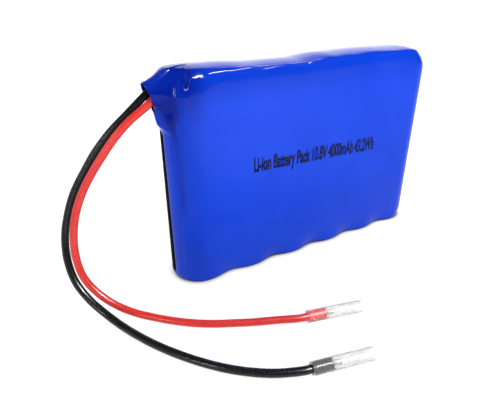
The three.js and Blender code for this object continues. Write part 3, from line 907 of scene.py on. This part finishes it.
def film_piece():
    """The film as one mesh, open at both gaps and at the mouth, with a wall that goes inwards."""
    points, in_gap, painted_shade = film_grid()
    mesh = grid_mesh("film_wrap", points)
    # the painted shade rides on the mesh as a point attribute
    mesh.attributes.new("painted_shade", "FLOAT", "POINT").data.foreach_set("value", painted_shade.ravel())
    shape = bmesh.new()
    shape.from_mesh(mesh)
    flags = in_gap.ravel()
    open_faces = [f for f in shape.faces if all(flags[v.index] for v in f.verts)]
    bmesh.ops.delete(shape, geom=open_faces, context="FACES")
    bmesh.ops.remove_doubles(shape, verts=shape.verts, dist=MERGE_WITHIN)
    cut_mouth(shape)
    loose = [v for v in shape.verts if not v.link_faces]
    bmesh.ops.delete(shape, geom=loose, context="VERTS")
    for vertex in shape.verts:
        vertex.co = Vector(to_frame(vertex.co))
    shape.to_mesh(mesh)
    shape.free()
    smooth_faces(mesh)
    piece = new_piece("film_wrap", mesh, "film", "pack", "shrink_sleeve")
    add_wall(piece, FILM_T)


film_piece()


def liner_piece():
    """The black sheet that shows in the gap up the left end, standing just inside the film."""
    angles = np.linspace(134, 214, 65)[None, :]
    low, middle, high = np.linspace(0.9, 8, 9), np.linspace(11, 53, 15), np.linspace(54, 56.5, 4)
    heights = np.concatenate([low, middle, high])[:, None]
    rounding = 0.5 * eased((2.5 - heights) / 2.5)
    radius = FILM_R - FILM_T - LINER_GAP + end_bulge(angles, heights) - rounding
    turn = np.radians(angles)
    x = radius * np.cos(turn) - ROW_HALF
    y = radius * np.sin(turn)
    rows = np.stack([x, y, heights + 0 * x], axis=2)
    mesh = bpy.data.meshes.new("end_liner")
    count, across = x.shape
    faces = []
    for r in range(count - 1):
        for c in range(across - 1):
            a = r * across + c
            faces.append((a, a + across, a + across + 1, a + 1))
    mesh.from_pydata(to_frame(rows.reshape(-1, 3)).tolist(), [], faces)
    smooth_faces(mesh)
    piece = new_piece("end_liner", mesh, "dark_sheet", "pack", "end_sheet_left")
    add_wall(piece, LINER_T)


liner_piece()


# ---------------------------------------------------------------- print
PRINT_TEXT = "Li-ion Battery Pack 10.8V 4000mAh 43.2Wh"
PRINT_LEFT = (-28.2, 38.6)  # row X and height of the baseline's left end
PRINT_RIGHT = (27.5, 37.2)
PRINT_HEIGHT = 5.2  # of a capital letter
PRINT_PROUD = 0.03  # how far it stands off the film
PRINT_T = 0.02  # thickness


def print_mesh():
    """One condensed line of generic print, laid on the front of the film."""
    curve = bpy.data.curves.new("print_text", "FONT")
    curve.body = PRINT_TEXT
    curve.size = 1
    curve.resolution_u = 4
    curve.offset = 0.04  # bolder strokes
    text = bpy.data.objects.new("print_text", curve)
    bpy.context.scene.collection.objects.link(text)
    bpy.context.view_layer.update()
    evaluated = text.evaluated_get(bpy.context.evaluated_depsgraph_get())
    mesh = bpy.data.meshes.new_from_object(evaluated)
    bpy.data.objects.remove(text)
    bpy.data.curves.remove(curve)
    flat = np.zeros(len(mesh.vertices) * 3)
    mesh.vertices.foreach_get("co", flat)
    flat = flat.reshape(-1, 3)
    low, high = flat.min(0), flat.max(0)
    across = (flat[:, 0] - low[0]) / (high[0] - low[0])
    capital = 0.729  # of the built-in font's size
    up = flat[:, 1] / capital * PRINT_HEIGHT
    x = PRINT_LEFT[0] + (PRINT_RIGHT[0] - PRINT_LEFT[0]) * across
    z = PRINT_LEFT[1] + (PRINT_RIGHT[1] - PRINT_LEFT[1]) * across + up
    y = face_waves(x, z, 1.0) - FILM_R - PRINT_PROUD
    mesh.vertices.foreach_set("co", to_frame(np.stack([x, y, z], axis=1)).ravel())
    mesh.update()
    mesh.name = "print_line"
    mesh.materials.clear()
    return mesh


def print_piece():
    mesh = print_mesh()
    piece = bpy.data.objects.new("print_line", mesh)
    bpy.context.scene.collection.objects.link(piece)
    mesh.materials.append(FINISHES["print"])
    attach(piece, "pack")
    ink = piece.modifiers.new("ink", "SOLIDIFY")
    ink.thickness = PRINT_T * MM
    ink.offset = 0


print_piece()
finish_nodes()


# ---------------------------------------------------------------- floor and light
FLOOR_HALF = 8.0  # metres
FLOOR_GREY = (0.28, 0.28, 0.28)
# The next four give the painted contact shadow round the pack's foot: its dark grey, where it starts
# to fade, how far it fades, and how far in it dips between two cells.
PAINTED_SHADOW_GREY = (0.02, 0.02, 0.02)
CONTACT_START = 1.5  # millimetres in from the pack's side where the floor's glow comes up
CONTACT_REACH = 0.007  # metres beyond that in which it does
CONTACT_DIP = 0.0014  # how much further in the pack's foot stands between two cells
LEADS_LIE_AT = (-0.04, -0.065, 0)
NEAR_GLOW = 0.76  # of the floor there, where the lights add most to it
# The floor well in front of the pack lights the pack's front, more so towards the left.
TO_FRONT_RIGHT = (0.53, -0.85, 0)
FRONT_FROM = 0.074  # metres that way at which this part of the floor starts
FRONT_FULL = 0.09  # and at which it has its full effect
FRONT_LEVEL = 1.92  # how bright its left is, next to the rest of the floor
BACKDROP_STRENGTH = 1.42
BACKDROP_REST = 0.015  # how much of it comes from outside the band
# The band of the backdrop that lights the scene: (direction's Z, level), then (its Y, level).
BAND_OVER_Z = ((0.0, 1), (0.3, 1), (0.62, 0))
BAND_OVER_Y = ((0.0, 0), (0.35, 1))


def painted_contact_shadow(material, x, y):
    """Painted contact shadow round the pack's foot: 0 where the pack touches the floor and 1 clear
    of it, with a dip between two cells.
    """
    maths = material.maths
    off = maths("ABSOLUTE", x)
    beyond = maths("MAXIMUM", maths("SUBTRACT", off, ROW_HALF * MM), 0)
    square = maths("ADD", maths("POWER", beyond, 2), maths("POWER", y, 2))
    away = maths("SUBTRACT", maths("SQRT", square), (FILM_R - CONTACT_START) * MM)
    within = maths("MINIMUM", off, ROW_HALF * MM)
    wave = maths("COSINE", maths("MULTIPLY", within, 2 * math.pi / (PITCH * MM)))
    between_cells = maths("ADD", maths("MULTIPLY", wave, 0.5), 0.5)
    dip = maths("POWER", between_cells, SCALLOP_SHARPNESS)
    away = maths("ADD", away, maths("MULTIPLY", dip, CONTACT_DIP))
    return material.ramp(
        maths("DIVIDE", away, CONTACT_REACH),
        (0.0, 0.02),
        (0.1, 0.1),
        (0.24, 0.66),
        (0.45, 0.92),
        (1.0, 1.0),
    )


def floor_glow(material, x, y):
    """The floor's glow: a little less round the leads, and more in front of the pack's left."""
    maths = material.maths
    from_leads = material.node("ShaderNodeVectorMath", Vector=material.place)
    from_leads.operation = "DISTANCE"
    from_leads.inputs[1].default_value = LEADS_LIE_AT
    glow = material.ramp(from_leads.outputs["Value"], (0.03, NEAR_GLOW), (0.12, 0.97), (0.5, 1.0))
    forward = material.node("ShaderNodeVectorMath", Vector=material.place)
    forward.operation = "DOT_PRODUCT"
    forward.inputs[1].default_value = TO_FRONT_RIGHT
    in_front = material.ramp(forward.outputs["Value"], (FRONT_FROM, 0.0), (FRONT_FULL, 1.0))
    across = maths("ADD", maths("ADD", x, y), 0.1)  # towards the right, always over 0 here
    level = material.ramp(across, (0.02, 1.0), (0.07, 0.72), (0.13, 0.45), (0.18, 0.41))
    added = maths("SUBTRACT", maths("MULTIPLY", level, FRONT_LEVEL), 1.0)
    added = maths("MULTIPLY", added, in_front)
    return maths("MULTIPLY", glow, maths("ADD", added, 1.0))


def make_floor():
    """A pale floor that glows as a lit translucent table does, so that shadows on it stay faint,
    with a painted contact shadow round the pack's foot.
    """
    mesh = bpy.data.meshes.new("floor")
    corners = [(-FLOOR_HALF, -FLOOR_HALF, 0), (FLOOR_HALF, -FLOOR_HALF, 0)]
    corners += [(FLOOR_HALF, FLOOR_HALF, 0), (-FLOOR_HALF, FLOOR_HALF, 0)]
    mesh.from_pydata(corners, [], [(0, 1, 2, 3)])
    floor = bpy.data.objects.new("floor", mesh)
    bpy.context.scene.collection.objects.link(floor)
    material = Finish("floor_paper", FLOOR_GREY, 0.8, Specular_IOR_Level=0.0)
    offset = material.node("ShaderNodeVectorMath", Vector=material.place)
    offset.operation = "SUBTRACT"
    offset.inputs[1].default_value = (ROW_X, 0, 0)
    split = material.node("ShaderNodeSeparateXYZ", Vector=offset.outputs[0])
    x, y = split.outputs["X"], split.outputs["Y"]
    # painted contact shadow: darkens the floor's colour and its glow round the pack's foot
    painted_shadow = painted_contact_shadow(material, x, y)
    material.link(material.mix(painted_shadow, PAINTED_SHADOW_GREY, FLOOR_GREY), "Base Color")
    glow = floor_glow(material, x, y)
    material.link(material.maths("MULTIPLY", painted_shadow, glow), "Emission Strength")
    material.set("Emission Color", (1, 1, 1, 1))
    mesh.materials.append(material.material)


def area_light(name, place, target, width, height, power, shiny=True, matt=True):
    """A rectangular light. If not shiny it shows in no reflection, and if not matt only there."""
    data = bpy.data.lights.new(name, "AREA")
    data.shape = "RECTANGLE"
    data.size = width
    data.size_y = height
    data.energy = power
    light = bpy.data.objects.new(name, data)
    bpy.context.scene.collection.objects.link(light)
    light.visible_glossy = shiny
    light.visible_diffuse = matt
    light.location = place
    light.rotation_euler = (Vector(target) - Vector(place)).to_track_quat("-Z", "Y").to_euler()


def make_world():
    """A backdrop that looks white throughout, but lights the scene with little more than a band
    of it, low down behind the pack."""
    world = bpy.data.worlds.new("studio")
    bpy.context.scene.world = world
    world.use_nodes = True
    nodes, links = world.node_tree.nodes, world.node_tree.links
    place = nodes.new("ShaderNodeTexCoord")
    split = nodes.new("ShaderNodeSeparateXYZ")
    links.new(place.outputs["Generated"], split.inputs[0])
    levels = []
    for axis, stops in (("Z", BAND_OVER_Z), ("Y", BAND_OVER_Y)):
        ramp = nodes.new("ShaderNodeValToRGB")
        links.new(split.outputs[axis], ramp.inputs["Fac"])
        elements = ramp.color_ramp.elements
        while len(elements) < len(stops):
            elements.new(0.5)
        for element, (position, level) in zip(elements, stops):
            element.position = position
            element.color = (level, level, level, 1)
        levels.append(ramp.outputs["Color"])
    band = nodes.new("ShaderNodeMath")
    band.operation = "MULTIPLY_ADD"
    links.new(levels[0], band.inputs[0])
    links.new(levels[1], band.inputs[1])
    band.inputs[2].default_value = BACKDROP_REST
    seen = nodes.new("ShaderNodeLightPath").outputs["Is Camera Ray"]
    backdrop = nodes.new("ShaderNodeMath")
    backdrop.operation = "MAXIMUM"
    links.new(band.outputs[0], backdrop.inputs[0])
    links.new(seen, backdrop.inputs[1])
    links.new(backdrop.outputs[0], nodes["Background"].inputs["Color"])
    nodes["Background"].inputs["Strength"].default_value = BACKDROP_STRENGTH


make_floor()
make_world()
# Each light's place, target, width, height and power.
area_light("key_light", (0.07, -0.25, 0.37), (0, 0, 0.04), 0.34, 0.07, 1.75, shiny=False)
area_light("key_glint", (0.12, -0.28, 0.4), (0, 0, 0.07), 0.23, 0.035, 7.0, matt=False)
area_light("front_light", (0.0, -0.57, 0.6), (0, 0, 0.04), 0.3, 0.3, 1.7, shiny=False)
area_light("left_strip", (-0.5, -0.2, 0.26), (-0.05, 0, 0.06), 0.03, 0.2, 0.9)
area_light("back_light", (-0.1, 0.56, 0.6), (0, 0, 0.04), 0.3, 0.3, 2.3, shiny=False)
bpy.context.scene.view_settings.view_transform = "Standard"
bpy.context.scene.view_settings.look = "None"
